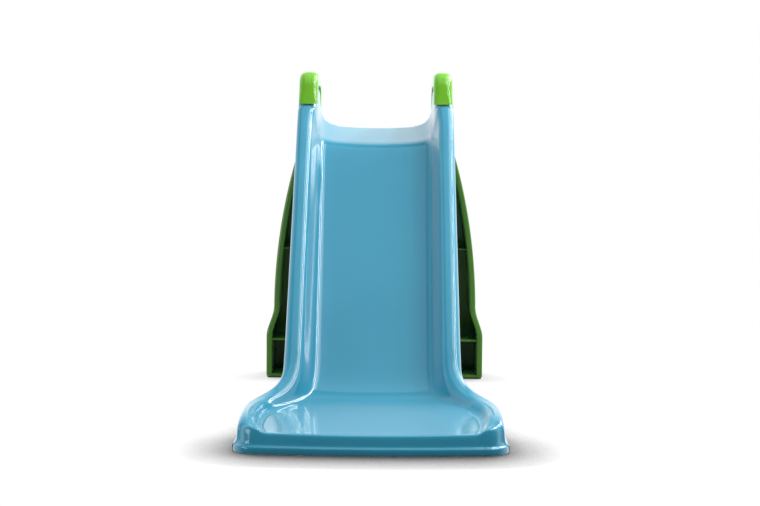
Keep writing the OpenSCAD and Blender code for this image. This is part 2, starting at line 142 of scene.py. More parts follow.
class Finish(Tree):
    """The node tree of one material, around its Principled shader."""

    def __init__(self, name):
        self.material = bpy.data.materials.new(name)
        super().__init__(self.material)
        self.shader = self.nodes["Principled BSDF"]
        self.coords = self.add("TexCoord").outputs["Object"]

    def set(self, name, value):
        self.feed(self.shader.inputs[name], value)

    def noise(self, scale, detail, stretch=(1, 1, 1)):
        moved = self.add("Mapping", {"Vector": self.coords, "Scale": stretch}).outputs[0]
        return self.add("TexNoise", {"Vector": moved, "Scale": scale, "Detail": detail}).outputs["Fac"]

    def colours(self, share, first, second):
        ends = {"A": (*first, 1), "B": (*second, 1)}
        return self.add("Mix", {**ends, "Factor": share}, data_type="RGBA").outputs["Result"]

    def bump(self, height, distance, strength, under=None):
        node = self.add("Bump", {"Height": height, "Distance": distance, "Strength": strength})
        if under is not None:
            self.feed(node.inputs["Normal"], under)
        return node.outputs["Normal"]


# ---- Studio: a white backdrop, a glowing floor with a painted contact shadow that fades into it, and soft boxes ----
# What the world lights the scene with: WORLD_BRIGHT low down behind the slide, and WORLD_DIM elsewhere
WORLD_DIM, WORLD_BRIGHT = 0.08, 1.35
WORLD_TINT = (0.94, 0.98, 1.0)
WORLD_FRONT_TO_BACK = (-0.45, 0.25)
WORLD_HIGH_TO_LOW = (0.93, 0.5)

FLOOR_RADIUS = 2.2
FLOOR_BASE = (0.03, 0.03, 0.03)
FLOOR_ROUGHNESS = 0.55
FLOOR_GLOW = 1.04
FLOOR_FADE = (0.75, 1.6)
# The floor's glow darkens near the slide in a painted contact shadow, measured towards CONTACT_LEAN and
# deepest in front of the tray
CONTACT_REACH = 0.115
CONTACT_LEAN = {"Y": 0.92, "Z": 0.39}
CONTACT_SAMPLES = 8
CONTACT_FRONT_TO_BACK = (-0.2, 0.3)
CONTACT_DEPTH = (3.9, 0.7)

SLIDE_FOOT = (0, -0.1, 0.2)
SLIDE_MIDDLE = (0, 0, 0.3)
SLIDE_SEAT = (0, 0.1, 0.5)
TRAY_SIDE = (0, -0.3, 0.2)
WARM_WHITE = (1.0, 0.95, 0.9)


def make_world():
    """White to the camera; in what lights the scene, bright low down behind the slide and dim elsewhere."""
    world = bpy.data.worlds.new("studio")
    scene.world = world
    tree = Tree(world)
    tree.nodes.clear()
    toward = tree.add("SeparateXYZ", {0: tree.add("TexCoord").outputs["Generated"]})
    behind = tree.ramp(toward.outputs["Y"], *WORLD_FRONT_TO_BACK, shape="SMOOTHSTEP")
    low = tree.ramp(toward.outputs["Z"], *WORLD_HIGH_TO_LOW, shape="SMOOTHSTEP")
    strength = tree.ramp(tree.maths("MULTIPLY", behind, low), 0, 1, WORLD_DIM, WORLD_BRIGHT)
    lit = tree.add("Background", {"Color": (*WORLD_TINT, 1), "Strength": strength})
    seen = tree.add("Background", {"Color": (1, 1, 1, 1)})
    from_camera = tree.add("LightPath").outputs["Is Camera Ray"]
    tree.add("OutputWorld", {"Surface": tree.blend(from_camera, lit, seen)})


def floor_material():
    """A white glow that darkens where the slide meets the floor, in a painted contact shadow, and turns clear
    towards the rim.
    """
    n = Finish("studio_floor")
    n.set("Base Color", (*FLOOR_BASE, 1))
    n.set("Roughness", FLOOR_ROUGHNESS)
    n.set("Specular IOR Level", 0.0)
    n.set("Emission Color", (1, 1, 1, 1))
    # Ambient occlusion near the slide dims the glow below: this is the painted contact shadow
    toward = {"Distance": CONTACT_REACH, "Normal": n.add("CombineXYZ", CONTACT_LEAN).outputs[0]}
    contact = n.add("AmbientOcclusion", toward, samples=CONTACT_SAMPLES)
    place = n.add("SeparateXYZ", {0: n.coords})
    depth = n.ramp(place.outputs["Y"], *CONTACT_FRONT_TO_BACK, *CONTACT_DEPTH)
    painted_shadow = n.maths("POWER", contact.outputs["AO"], depth)
    n.set("Emission Strength", n.maths("MULTIPLY", painted_shadow, FLOOR_GLOW))
    away = n.add("VectorMath", {0: n.coords}, operation="LENGTH").outputs["Value"]
    fade = n.ramp(away, *FLOOR_FADE, shape="SMOOTHSTEP")
    shown = n.blend(fade, n.shader, n.add("BsdfTransparent"))
    n.feed(n.nodes["Material Output"].inputs["Surface"], shown)
    return n.material


def make_floor():
    bpy.ops.mesh.primitive_circle_add(vertices=96, radius=FLOOR_RADIUS, fill_type="NGON", location=(0, 0, 0))
    floor = bpy.context.object
    floor.name = "studio_floor"
    floor.data.materials.append(floor_material())
    floor.visible_glossy = False


def area_light(name, place, look_at, size, power, colour=(1, 1, 1), mirrored=True):
    """A soft box that faces look_at, with its second size running from front to back."""
    data = bpy.data.lights.new(name, "AREA")
    data.shape = "RECTANGLE"
    data.size, data.size_y = size
    data.energy = power
    data.color = colour
    light = bpy.data.objects.new(name, data)
    scene.collection.objects.link(light)
    back = (Vector(place) - Vector(look_at)).normalized()
    along = (Vector((0, 1, 0)) - back * back.y).normalized()
    turn = Matrix((along.cross(back), along, back)).transposed()
    light.matrix_world = Matrix.Translation(place) @ turn.to_4x4()
    light.visible_glossy = mirrored


def make_lights():
    area_light("key", (1.7, 1.7, 2.0), SLIDE_FOOT, (1.0, 1.0), 26, WARM_WHITE)
    area_light("fill", (-1.6, 0.9, 2.2), SLIDE_FOOT, (1.0, 1.2), 11, mirrored=False)
    area_light("ceiling", (0.0, -0.2, 3.0), SLIDE_FOOT, (2.4, 3.2), 24)
    area_light("band", (0.85, 0.0, 2.65), SLIDE_MIDDLE, (0.5, 2.4), 14)
    area_light("front_top", (0.0, -2.0, 2.3), SLIDE_SEAT, (1.4, 0.5), 9, mirrored=False)
    area_light("left_card", (-2.0, -1.5, 0.5), TRAY_SIDE, (0.7, 1.2), 12)
    # Two long strips, which draw the thin highlights along the rails
    area_light("strip_high", (1.14, 0.0, 2.12), SLIDE_MIDDLE, (0.14, 2.6), 27)
    area_light("strip_low", (1.5, 0.0, 1.75), SLIDE_MIDDLE, (0.14, 2.6), 25)


# ---- Materials ----
SCUFF_STRETCH = (9, 0.55, 0.55)
PLATING_STRETCH = (0.1, 1, 1)


def moulded_plastic(name, light, dark, roughness, scuffs, sheen):
    """Glossy blow-moulded plastic: a slow drift of colour, a slightly wavy skin and fine scuffs."""
    n = Finish(name)
    drift = n.ramp(n.noise(3.5, 2), 0.35, 0.65)
    n.set("Base Color", n.colours(drift, dark, light))
    scratch = n.ramp(n.noise(95, 3, SCUFF_STRETCH), 0.6, 0.8)
    patch = n.ramp(n.noise(5, 2), 0.5, 0.66)
    worn = n.maths("MULTIPLY", scratch, patch)
    gloss = n.ramp(n.noise(14, 2), 0.3, 0.7, roughness, roughness + 0.04)
    n.set("Roughness", n.maths("ADD", gloss, n.maths("MULTIPLY", worn, scuffs)))
    wavy = n.bump(n.noise(6, 1), 0.0006, 0.06)
    peel = n.bump(n.noise(420, 2), 0.00003, 0.05, wavy)
    scored = n.bump(worn, -0.00005, 0.1, peel)
    n.set("Normal", scored)
    n.set("IOR", 1.5)
    n.set("Sheen Weight", sheen)
    n.set("Sheen Roughness", 0.3)
    return n.material


def soft_rubber():
    """Dull rubber with a fine grain."""
    n = Finish("pad_rubber")
    n.set("Base Color", n.colours(n.noise(60, 4), (0.03, 0.05, 0.035), (0.05, 0.075, 0.055)))
    n.set("Roughness", n.ramp(n.noise(200, 3), 0.3, 0.7, 0.7, 0.85))
    n.set("Normal", n.bump(n.noise(900, 3), 0.0001, 0.6))
    return n.material


def satin_plastic(name, light, dark, roughness):
    """Plain machined or moulded plastic with a satin skin."""
    n = Finish(name)
    n.set("Base Color", n.colours(n.noise(40, 3), dark, light))
    n.set("Roughness", n.ramp(n.noise(160, 3), 0.3, 0.7, roughness, roughness + 0.12))
    n.set("Normal", n.bump(n.noise(1500, 2), 0.00004, 0.5))
    return n.material


def zinc_plate():
    """Zinc plating with a grain that runs along the rod."""
    n = Finish("zinc_steel")
    n.set("Base Color", n.colours(n.noise(150, 5), (0.6, 0.61, 0.62), (0.74, 0.75, 0.77)))
    n.set("Metallic", 1.0)
    n.set("Roughness", n.ramp(n.noise(350, 4), 0.3, 0.7, 0.2, 0.36))
    n.set("Normal", n.bump(n.noise(700, 3, PLATING_STRETCH), 0.00003, 0.5))
    return n.material


BLUE = moulded_plastic("blue_plastic", (0.036, 0.28, 0.42), (0.031, 0.262, 0.396), 0.09, 0.16, 0.8)
GREEN = moulded_plastic("green_plastic", (0.16, 0.47, 0.026), (0.14, 0.43, 0.022), 0.13, 0.12, 0.1)
# The ladder's green below is the handrail green made darker: painted shade for the shadow that falls on the
# ladder behind the chute
SHADED_GREEN = moulded_plastic("shaded_green_plastic", (0.075, 0.2, 0.03), (0.065, 0.18, 0.026), 0.16, 0.14, 0.1)
RUBBER = soft_rubber()
NYLON = satin_plastic("nylon", (0.78, 0.76, 0.68), (0.7, 0.68, 0.6), 0.42)
CAP = satin_plastic("cap_plastic", (0.035, 0.04, 0.038), (0.02, 0.024, 0.022), 0.4)
ZINC = zinc_plate()
# The slot deep_green_shell, on the ladder sides and steps, takes that darker green with painted shade
MATERIAL_OF = {"blue_shell": BLUE, "green_shell": GREEN, "deep_green_shell": SHADED_GREEN, "nylon": NYLON,
               "cap_plastic": CAP, "pad_rubber": RUBBER, "zinc_steel": ZINC}


# ---- Mesh helpers ----
def mesh_piece(name, points, faces, slot, body, replaced, levels=0, sharp=None):
    """A piece with its finish, its slot and its body, in place of its CAD nodes."""
    mesh = bpy.data.meshes.new(name)
    mesh.from_pydata([tuple(p) for p in points], [], faces)
    mesh.validate()
    bm = bmesh.new()
    bm.from_mesh(mesh)
    bmesh.ops.recalc_face_normals(bm, faces=bm.faces)
    bm.to_mesh(mesh)
    bm.free()
    mesh.shade_smooth()
    piece = bpy.data.objects.new(name, mesh)
    scene.collection.objects.link(piece)
    if levels:
        smooth = piece.modifiers.new("smooth", "SUBSURF")
        smooth.levels = levels
        smooth.render_levels = levels
    if sharp is not None:
        mesh.set_sharp_from_angle(angle=math.radians(sharp))
    mesh.materials.append(MATERIAL_OF[slot])
    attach(piece, body)
    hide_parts(*replaced)


def grid_faces(rows, columns, first=0, close_columns=False, wrap_rows=None):
    """Faces between rows of points; wrap_rows is the point count where the last row joins the first."""
    total = wrap_rows or rows * columns
    faces = []
    for r in range(rows - 1):
        for c in range(columns if close_columns else columns - 1):
            near, far = r * columns, (r + 1) * columns
            beside = (c + 1) % columns
            faces.append(tuple(first + i % total for i in (near + c, near + beside, far + beside, far + c)))
    return faces


def bezier_corner(before, at, after, reach, count):
    """Points of a corner rounded by a quadratic curve that starts and ends at reach from it."""
    before, at, after = (np.asarray(p, float) for p in (before, at, after))
    start = at + (before - at) * reach / max(np.linalg.norm(before - at), 1e-9)
    end = at + (after - at) * reach / max(np.linalg.norm(after - at), 1e-9)
    s = np.linspace(0, 1, count)[:, None]
    return (1 - s) ** 2 * start + 2 * s * (1 - s) * at + s ** 2 * end


# ---- Chute: the centre line of its sliding surface, by the length u along it ----
LIP_INSET = 22
LIP_HEIGHT = 33
LIP = np.array([LIP_INSET, LIP_HEIGHT])
RUNOUT_LENGTH, RUNOUT_ANGLE, RUNOUT_RADIUS = 208, 3, 150
CHUTE_ANGLE = 48
CREST_HEIGHT, CREST_RADIUS = 491, 75
SEAT_ANGLE, SEAT_LENGTH = 13, 131
LEDGE_PAST_CREST = 17
SKIRT_DEPTH = 45
CHUTE_WALL = 4.5
BASE_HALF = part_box("slide_chute")[1].x / MM
POST_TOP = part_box("slide_chute")[1].z / MM


def direction(angle):
    """A unit step up a slope of this angle, as [behind, up]."""
    return np.array([math.cos(math.radians(angle)), math.sin(math.radians(angle))])


def arc_offset(radius, a, b):
    """From the point of an arc where its slope is a, to the point where its slope is b."""
    a, b = math.radians(a), math.radians(b)
    return radius * np.array([math.sin(b) - math.sin(a), math.cos(a) - math.cos(b)])


ARC_START = LIP + RUNOUT_LENGTH * direction(RUNOUT_ANGLE)
ARC_END = ARC_START + arc_offset(RUNOUT_RADIUS, RUNOUT_ANGLE, CHUTE_ANGLE)
CREST_RISE = -arc_offset(CREST_RADIUS, CHUTE_ANGLE, (CHUTE_ANGLE + SEAT_ANGLE) / 2)[1]
STRAIGHT_LENGTH = (CREST_HEIGHT - CREST_RISE - ARC_END[1]) / direction(CHUTE_ANGLE)[1]
STRAIGHT_END = ARC_END + STRAIGHT_LENGTH * direction(CHUTE_ANGLE)
SEAT_START = STRAIGHT_END - arc_offset(CREST_RADIUS, CHUTE_ANGLE, SEAT_ANGLE)
U_ARC = RUNOUT_LENGTH
U_STRAIGHT = U_ARC + RUNOUT_RADIUS * math.radians(CHUTE_ANGLE - RUNOUT_ANGLE)
U_CREST = U_STRAIGHT + STRAIGHT_LENGTH
U_SEAT = U_CREST + CREST_RADIUS * math.radians(CHUTE_ANGLE - SEAT_ANGLE)
U_END = U_SEAT + SEAT_LENGTH
U_LEDGE = U_CREST + LEDGE_PAST_CREST


def bed(u):
    """The middle of the sliding surface at u, as [behind the lip, up]."""
    if u < U_ARC:
        return LIP + u * direction(RUNOUT_ANGLE)
    if u < U_STRAIGHT:
        slope = RUNOUT_ANGLE + math.degrees((u - U_ARC) / RUNOUT_RADIUS)
        return ARC_START + arc_offset(RUNOUT_RADIUS, RUNOUT_ANGLE, slope)
    if u < U_CREST:
        return ARC_END + (u - U_STRAIGHT) * direction(CHUTE_ANGLE)
    if u < U_SEAT:
        slope = CHUTE_ANGLE - math.degrees((u - U_CREST) / CREST_RADIUS)
        return STRAIGHT_END - arc_offset(CREST_RADIUS, CHUTE_ANGLE, slope)
    return SEAT_START + (u - U_SEAT) * direction(SEAT_ANGLE)


def measure(at, table):
    """A measure that changes along a length, from its table of [place, measure]."""
    return float(np.interp(at, [row[0] for row in table], [row[1] for row in table]))


# ---- Chute: its measures along u ----
# The lean of each cross-section, in degrees from upright
TILT = [(150, 0), (330, 46), (640, 48), (U_LEDGE, 8), (U_END, 8)]


def post_rise(u):
    """How far above the bed the top of a post lies, along the section's lean."""
    return (POST_TOP - bed(u)[1]) / math.cos(math.radians(measure(u, TILT)))


# Half widths outside at the foot and inside at the bed
FOOT_HALF = [(125, BASE_HALF), (155, BASE_HALF - 2), (175, BASE_HALF - 8), (200, BASE_HALF - 24),
             (225, BASE_HALF - 44), (250, BASE_HALF - 60), (285, 161), (340, 160), (U_LEDGE, 158),
             (U_END, 158)]
BED_HALF = [(0, 178), (30, 187), (90, 187), (130, 180), (165, 166), (200, 141), (232, 121), (265, 111),
            (310, 107), (U_LEDGE, 109), (U_LEDGE + 50, 113), (U_END, 114)]
# The top of the side walls above the bed
U_POST, U_POST_TOP = U_LEDGE + 54, U_LEDGE + 78
CREST = [(0, 11), (18, 17), (45, 21.5), (75, 22), (120, 21), (165, 22), (200, 28), (232, 39), (265, 51),
         (310, 62), (360, 65), (640, 66), (760, 71), (U_CREST, 82), (U_LEDGE, 87), (U_LEDGE + 2, 86),
         (U_LEDGE + 13, 79), (U_POST, post_rise(U_POST) - 3), (U_POST_TOP, post_rise(U_POST_TOP)),
         (U_END, post_rise(U_END))]
# How far the inner face of a wall leans out, the rounding at its root and on its top
WALL_RUN = [(0, 15), (40, 11), (120, 12), (200, 14), (320, 18), (U_CREST, 18), (U_LEDGE + 15, 10),
            (U_POST, 6), (U_END, 3)]
FILLET = [(0, 15), (40, 13), (130, 12), (200, 18), (320, 14), (U_CREST, 14), (U_LEDGE + 50, 24), (U_END, 36)]
CROWN = [(0, 20), (200, 22), (320, 17), (U_END, 16)]
# How far the bed's edges rise above its middle, and how far the foot flange stands out
BED_DISH = [(0, 1.5), (90, 3), (220, 7)]
FLANGE = [(200, 6), (300, 0)]
# The foot flange as [drawn in, height] from the bottom edge up to the wall above its ledge
RIM = [(0, 0), (0, 2), (0, 9.5), (1, 12), (4.5, 13.2), (6, 16)]
RIM_WIDTH = RIM[-1][0]
RIM_SPACING = 0.8
# The outer face of the wall, drawn in at its foot and at its top, and how high its foot lies
FACE_IN_FOOT, FACE_IN_TOP, FACE_FOOT = 1, 3, 20
# How far the inner skin moves out at the bed's edge and at the top of the wall, per depth into the wall
BED_SHIFT, TOP_SHIFT = 0.5, 0.7
# Where the dished half of the bed has points, as shares of its half width
BED_SHARES = (0.72, 0.5, 0.25, 0)


def rim_height(i, t):
    """The height of flange level i, t into the wall; the inner skin's levels stay RIM_SPACING apart."""
    return RIM[i][1] if t == 0 else max(RIM[i][1] - t, RIM_SPACING * i)


def half_section(u, t):
    """Half a cross-section as [across, up], from the outer bottom edge in to the centre, t into the wall."""
    drop = floor_drop(u)
    out = measure(u, FOOT_HALF) - t
    lip = measure(u, FLANGE)
    edge = measure(u, BED_HALF) + t * BED_SHIFT
    crest = measure(u, CREST) - t
    crown = measure(u, CROWN)
    dish_rise = measure(u, BED_DISH)
    bed_edge = (edge, dish_rise - t)
    inner_top = (edge + measure(u, WALL_RUN) + t * TOP_SHIFT, crest)
    outer_top = (out - lip - FACE_IN_TOP, crest)
    outer_foot = (out - lip - FACE_IN_FOOT, drop + FACE_FOOT)
    rim = [(out - lip * RIM[i][0] / RIM_WIDTH, drop + rim_height(i, t)) for i in range(len(RIM))]
    width = outer_top[0] - inner_top[0]
    slope = math.hypot(inner_top[0] - bed_edge[0], inner_top[1] - bed_edge[1])
    outer_round = min(crown, width * 0.5)
    inner_round = min(crown * 0.8, width * 0.48, slope * 0.5)
    root_round = min(measure(u, FILLET), slope * 0.48)
    dish = [(edge * s, dish_rise * s * s - t) for s in BED_SHARES]
    return np.vstack([rim, [outer_foot],
                      bezier_corner(outer_foot, outer_top, inner_top, outer_round, 7),
                      bezier_corner(outer_top, inner_top, bed_edge, inner_round, 6),
                      bezier_corner(inner_top, bed_edge, (0, 0), root_round, 6),
                      dish])


def floor_drop(u):
    """How far below the bed the skirt's bottom edge lies: at the floor, or SKIRT_DEPTH down."""
    return -min(bed(u)[1] / math.cos(math.radians(measure(u, TILT))), SKIRT_DEPTH)


def section(u, t):
    """A whole cross-section, from the left bottom edge to the right one."""
    half = half_section(u, t)
    return np.vstack([half * (-1, 1), half[-2::-1]])


def placed(u, p):
    """A cross-section's points in space, as [across, behind the lip, up]."""
    a = math.radians(measure(u, TILT))
    b = bed(u)
    return np.stack([p[:, 0], b[0] - p[:, 1] * math.sin(a), b[1] + p[:, 1] * math.cos(a)], axis=1)


# ---- Chute: its front wall, in rings that follow the bowed outline of the base ----
FRONT_BOW = 12
BASE_CORNER = 42
CORNER_X = BASE_HALF - BASE_CORNER
# Rings above the flange, as [drawn in, share of the way up to the tray, spread of the section's sides]
FRONT_RINGS = [(6.6, 0.06, 0.935), (7.6, 0.4, 0.945), (8.8, 0.76, 0.96), (10.6, 0.94, 0.975),
               (14.5, 1.0, 0.99)]
FLANGE_SPREAD = 0.93
# How far above the flange the share of the way up starts
ABOVE_FLANGE = 2
# The furthest back that each of those rings reaches at the corners
RING_LIMIT = [28, 31, 34, 36.5, 39]
# The outermost points of the rings turn the corner by CORNER_STEP degrees each, to either side of its middle
CORNER_MIDDLE, CORNER_STEP = 45, 5
# The stretch across where a ring's points start to draw in
SPREAD_ZONE = (150, 205)


def outline(x, inset):
    """How far behind the lip the bowed front edge lies at x, drawn in by inset."""
    r = BASE_CORNER - inset
    over = np.clip(np.abs(x) - CORNER_X, 0, r)
    return inset + FRONT_BOW * np.minimum(np.abs(x) / CORNER_X, 1) ** 2 + r - np.sqrt(r * r - over * over)


def front_ring(k, t):
    """Ring k of the front wall: its flange levels first, then the rings above them."""
    p = section(0, t)
    count = len(p)
    rim = len(RIM)
    on_rim = k < rim
    inset, rise, spread = (RIM[k][0], 0, FLANGE_SPREAD) if on_rim else FRONT_RINGS[k - rim]
    ring = np.zeros((count, 3))
    base = rim_height(k, t) if on_rim else rim_height(rim - 1, t) + ABOVE_FLANGE
    for j in range(count):
        side = min(j, count - 1 - j)
        if side < rim:
            level = min(k, side)
            r = BASE_CORNER - RIM[level][0] - t
            angle = math.radians(CORNER_MIDDLE + (side - k) * CORNER_STEP)
            ring[j] = (math.copysign(CORNER_X + r * math.cos(angle), p[j, 0]),
                       RIM[level][0] + t + FRONT_BOW + r * (1 - math.sin(angle)), rim_height(level, t))
        else:
            outward = np.interp(abs(p[j, 0]), SPREAD_ZONE, (0, 1))
            x = p[j, 0] * (1 - (1 - spread) * outward)
            back = min(float(outline(x, inset + t)), RING_LIMIT[max(k - rim, 0)] + t)
            ring[j] = (x, back, base + rise * (LIP_HEIGHT + p[j, 1] - base))
    return ring


# The places along u that have a row of points, closer together where the shape turns
STATIONS = ([8, 22, 38, 58, 80, 104, 128, 150, 170, 188, 206, 224, 242, 260, 280, 302, 326, 354]
            + list(range(376, 806, 20)) + [818, U_CREST - 4, U_LEDGE - 5, U_LEDGE - 1, U_LEDGE + 1.5,
                                           U_LEDGE + 11, U_LEDGE + 16]
            + [U_LEDGE + s for s in (26, 38, 52, 66, 80, 98, 118)] + [U_END - 12, U_END - 4])
# Where the front's bow has died out
BOW_END = 120
# How far down the back end's face its rows lie, the share of its height that they keep, and its lowest row
BACK_STEPS, BACK_SHARE, BACK_FOOT = (4, 12), 0.6, 3


def skin(t):
    """One skin of the wall, as rows of points from the front edge to the back edge."""
    rows = [front_ring(k, t) for k in range(len(RIM) + len(FRONT_RINGS))]
    for u in STATIONS:
        at = min(u, U_END - t - 1)
        row = placed(at, section(at, t))
        row[:, 1] += FRONT_BOW * max(1 - u / BOW_END, 0) * np.minimum(np.abs(row[:, 0]) / CORNER_X, 1) ** 2
        rows.append(row)
    last = U_END - t
    across, up = section(last, t).T
    low = floor_drop(last)
    heights = [up - 1]
    heights += [np.maximum(up - down, low + (up - low) * BACK_SHARE) for down in BACK_STEPS]
    heights += [low + BACK_FOOT + (up - low) * 0.01, np.full(len(up), low)]
    rows += [placed(last, np.stack([across, height], axis=1)) for height in heights]
    return np.array(rows)


def make_chute():
    """Both skins of the wall, joined along their four edges."""
    outer, inner = skin(0), skin(CHUTE_WALL)
    rows, columns, _ = outer.shape
    count = rows * columns
    faces = grid_faces(rows, columns) + grid_faces(rows, columns, count)
    edges = [range(columns), range(count - columns, count),
             range(0, count, columns), range(columns - 1, count, columns)]
    for edge in edges:
        faces += [(i, j, j + count, i + count) for i, j in zip(edge, edge[1:])]
    points = to_frame(np.vstack([outer.reshape(-1, 3), inner.reshape(-1, 3)]))
    mesh_piece("chute_moulding", points, faces, "blue_shell", "slide", ["slide_chute"], levels=2)


# ---- Shapes for the other pieces; every one is a list of (points, faces) in millimetres ----
def loft(loops):
    """A closed skin through loops of equal length, capped at both ends."""
    loops = np.asarray(loops, float)
    rows, columns, _ = loops.shape
    faces = grid_faces(rows, columns, close_columns=True)
    faces += [tuple(range(columns))[::-1], tuple(range((rows - 1) * columns, rows * columns))]
    return loops.reshape(-1, 3), faces


def turned(profile, centre, steps=56):
    """Loops from a profile of [x, radius], about an axis along X through centre, [behind the lip, up]."""
    y, z = centre
    turns = [2 * math.pi * k / steps for k in range(steps)]
    return np.array([[(x, y + r * math.cos(a), z + r * math.sin(a)) for a in turns] for x, r in profile])


def lathe(profile, centre, steps=56):
    """A turned solid."""
    return loft(turned(profile, centre, steps))


def ring_lathe(profile, centre):
    """A turned ring, whose profile closes on itself around a bore."""
    loops = turned(profile, centre)
    rows, columns, _ = loops.shape
    return loops.reshape(-1, 3), grid_faces(rows + 1, columns, close_columns=True, wrap_rows=rows * columns)


def rounded_outline(corners, count=5):
    """A closed outline from [x, y, reach] corners; a corner with no reach stays sharp."""
    points = [c[:2] for c in corners]
    parts = []
    for k, (x, y, reach) in enumerate(corners):
        if reach > 0:
            parts.append(bezier_corner(points[k - 1], (x, y), points[(k + 1) % len(points)], reach, count))
        else:
            parts.append(np.array([[x, y]]))
    return np.vstack(parts)


def inset_outline(outline_points, inset):
    """A convex outline drawn in by inset along its normals."""
    p = np.asarray(outline_points, float)
    along = np.roll(p, -1, axis=0) - np.roll(p, 1, axis=0)
    along /= np.linalg.norm(along, axis=1)[:, None]
    normal = np.stack([-along[:, 1], along[:, 0]], axis=1)
    middle = p.mean(axis=0)
    if ((middle - p) * normal).sum() < 0:
        normal = -normal
    return p + inset * normal


def slab(outline_points, a, b, axis, round_by):
    """A convex outline given a thickness from a to b along an axis, with rims rounded by round_by."""
    steps = [(0, 1), (0.3, 0.3), (1, 0)]
    levels = [(a + s * round_by, t * round_by) for s, t in steps]
    levels += [(b - s * round_by, t * round_by) for s, t in steps[::-1]]
    return loft([np.insert(inset_outline(outline_points, inset), axis, at, axis=1) for at, inset in levels])


def joined(parts, side=1):
    """Several shapes as one, mirrored to the left where side is below 0."""
    points, faces, first = [], [], 0
    for part_points, part_faces in parts:
        points.append(np.asarray(part_points, float) * (side, 1, 1))
        faces += [tuple(i + first for i in face) for face in part_faces]
        first += len(part_points)
    return to_frame(np.vstack(points)), faces


def build(name, parts, slot, body, replaced, side=1, sharp=40):
    """One piece from its shapes; edges steeper than sharp degrees stay crisp."""
    points, faces = joined(parts, side)
    mesh_piece(name, points, faces, slot, body, replaced, sharp=sharp)


# ---- Pivot: lugs behind the seat, bushes, washers, rod and caps ----
LUG_IN, LUG_OUT = 90, 110
LUG_ROUND = 1.6
# A lug's outline about the pivot as [behind, up]: its lower edge, an arc of LUG_RADIUS, then its upper edge
LUG_LOWER = [(-43.5, 45), (-36, 18), (-36, 2), (-24, -8)]
LUG_RADIUS = 17
LUG_ARC = (-118, 52)
LUG_UPPER = [(-6, 26), (-35, 47)]
ROD_RADIUS, ROD_TIP_RADIUS, ROD_CHAMFER = 5, 3.6, 1.4
BORE_RADIUS, BUSH_RADIUS, WASHER_RADIUS, CAP_RADIUS = 5.05, 8, 11, 10
BOSS_FACE = 115.5
CAP_AT = 138.5


def lug_outline():
    turns = np.linspace(*np.radians(LUG_ARC), 26)
    arc = [(LUG_RADIUS * math.cos(a), LUG_RADIUS * math.sin(a)) for a in turns]
    return np.array(LUG_LOWER + arc + LUG_UPPER) + PIVOT


def rod_profile():
    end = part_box("pivot_rod")[1].x / MM
    half = [(20, ROD_RADIUS), (end - ROD_CHAMFER, ROD_RADIUS), (end, ROD_TIP_RADIUS)]
    return [(-x, r) for x, r in half[::-1]] + half


def bush_profile():
    """A sleeve through the lug, with a flange on its inner face."""
    b, f = BORE_RADIUS, WASHER_RADIUS
    near, face, far = LUG_IN - 2, LUG_IN, LUG_OUT
    return [(near, b + 0.5), (near, f - 0.4), (near + 0.4, f), (face - 0.2, f), (face, f - 0.2),
            (face, BUSH_RADIUS), (far, BUSH_RADIUS), (far, b + 0.4), (far - 0.4, b), (near + 0.5, b)]


def washer_profile():
    """A washer that fills the gap from the lug to the boss of the ladder side."""
    b, w = BORE_RADIUS, WASHER_RADIUS
    near, far = LUG_OUT + 0.2, BOSS_FACE
    return [(near, b + 0.5), (near, w - 0.6), (near + 0.6, w), (far - 0.6, w), (far, w - 0.6), (far, b + 0.5),
            (far - 0.5, b), (near + 0.5, b)]


def cap_profile():
    """A push-on cap: a flange against the boss, then a domed hub with a small dimple."""
    c, end = CAP_RADIUS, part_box("rod_cap_right")[1].x / MM
    flange = [(0, c - 0.6), (0.5, c), (2.2, c), (2.8, c - 0.4), (3, c - 1)]
    hub = [(3.2, 8), (3.8, 7.5), (5.6, 7.4), (6.9, 6.6)]
    dimple = [(end - 0.3, 5.2), (end, 3.4), (end - 0.4, 2.4), (end - 0.5, 0.4)]
    return [(CAP_AT + x, r) for x, r in flange + hub] + dimple


def make_pivot():
    build("pivot_rod_bar", [lathe(rod_profile(), PIVOT)], "zinc_steel", "ladder", ["pivot_rod"])
    for name, side in SIDES:
        build("lug_" + name, [slab(lug_outline(), LUG_IN, LUG_OUT, 0, LUG_ROUND)],
              "blue_shell", "slide", ["slide_chute"], side)
        build("bush_" + name, [ring_lathe(bush_profile(), PIVOT)],
              "nylon", "slide", ["pivot_bush_" + name], side)
        build("washer_" + name, [ring_lathe(washer_profile(), PIVOT)],
              "nylon", "ladder", ["pivot_washer_" + name], side)
        build("cap_" + name, [lathe(cap_profile(), PIVOT)],
              "cap_plastic", "ladder", ["rod_cap_" + name], side)


# ---- Handrails: an arch of rounded section over each post ----
GRIP_WIDTH = 38
GRIP = (BOSS_FACE, BOSS_FACE + GRIP_WIDTH)
TOP = cad_box[1][2] / MM
LEG_LOW = 506.2
# Outer and inner edges of the arch from its front tip to the foot of its leg, as [behind the lip, up, reach]
GRIP_OUTER = [(677, 576, 0), (699, TOP, 30), (912, TOP, 62), (912, LEG_LOW, 0)]
GRIP_INNER = [(691, 576, 0), (726, 613.5, 11), (872, 613.5, 26), (872, LEG_LOW, 0)]
# The number of sections on the tip's run, first corner, top, second corner and leg
GRIP_SPANS = (7, 9, 12, 12, 9)
# The arch's full depth, at which its section has its full rounding of [lower edge, upper edge] on each side
GRIP_DEPTH = 27.5
GRIP_ROUND_IN, GRIP_ROUND_OUT = (5, 14), (6, 17)
# The rounded ends as [drawn in, raised], outermost last
GRIP_TIP = [(1.1, 0.2), (2.4, 0.2)]
GRIP_FOOT = [(0.4, 0.5), (1.2, 0.05)]
GRIP_FOOT_RISE = 1.5


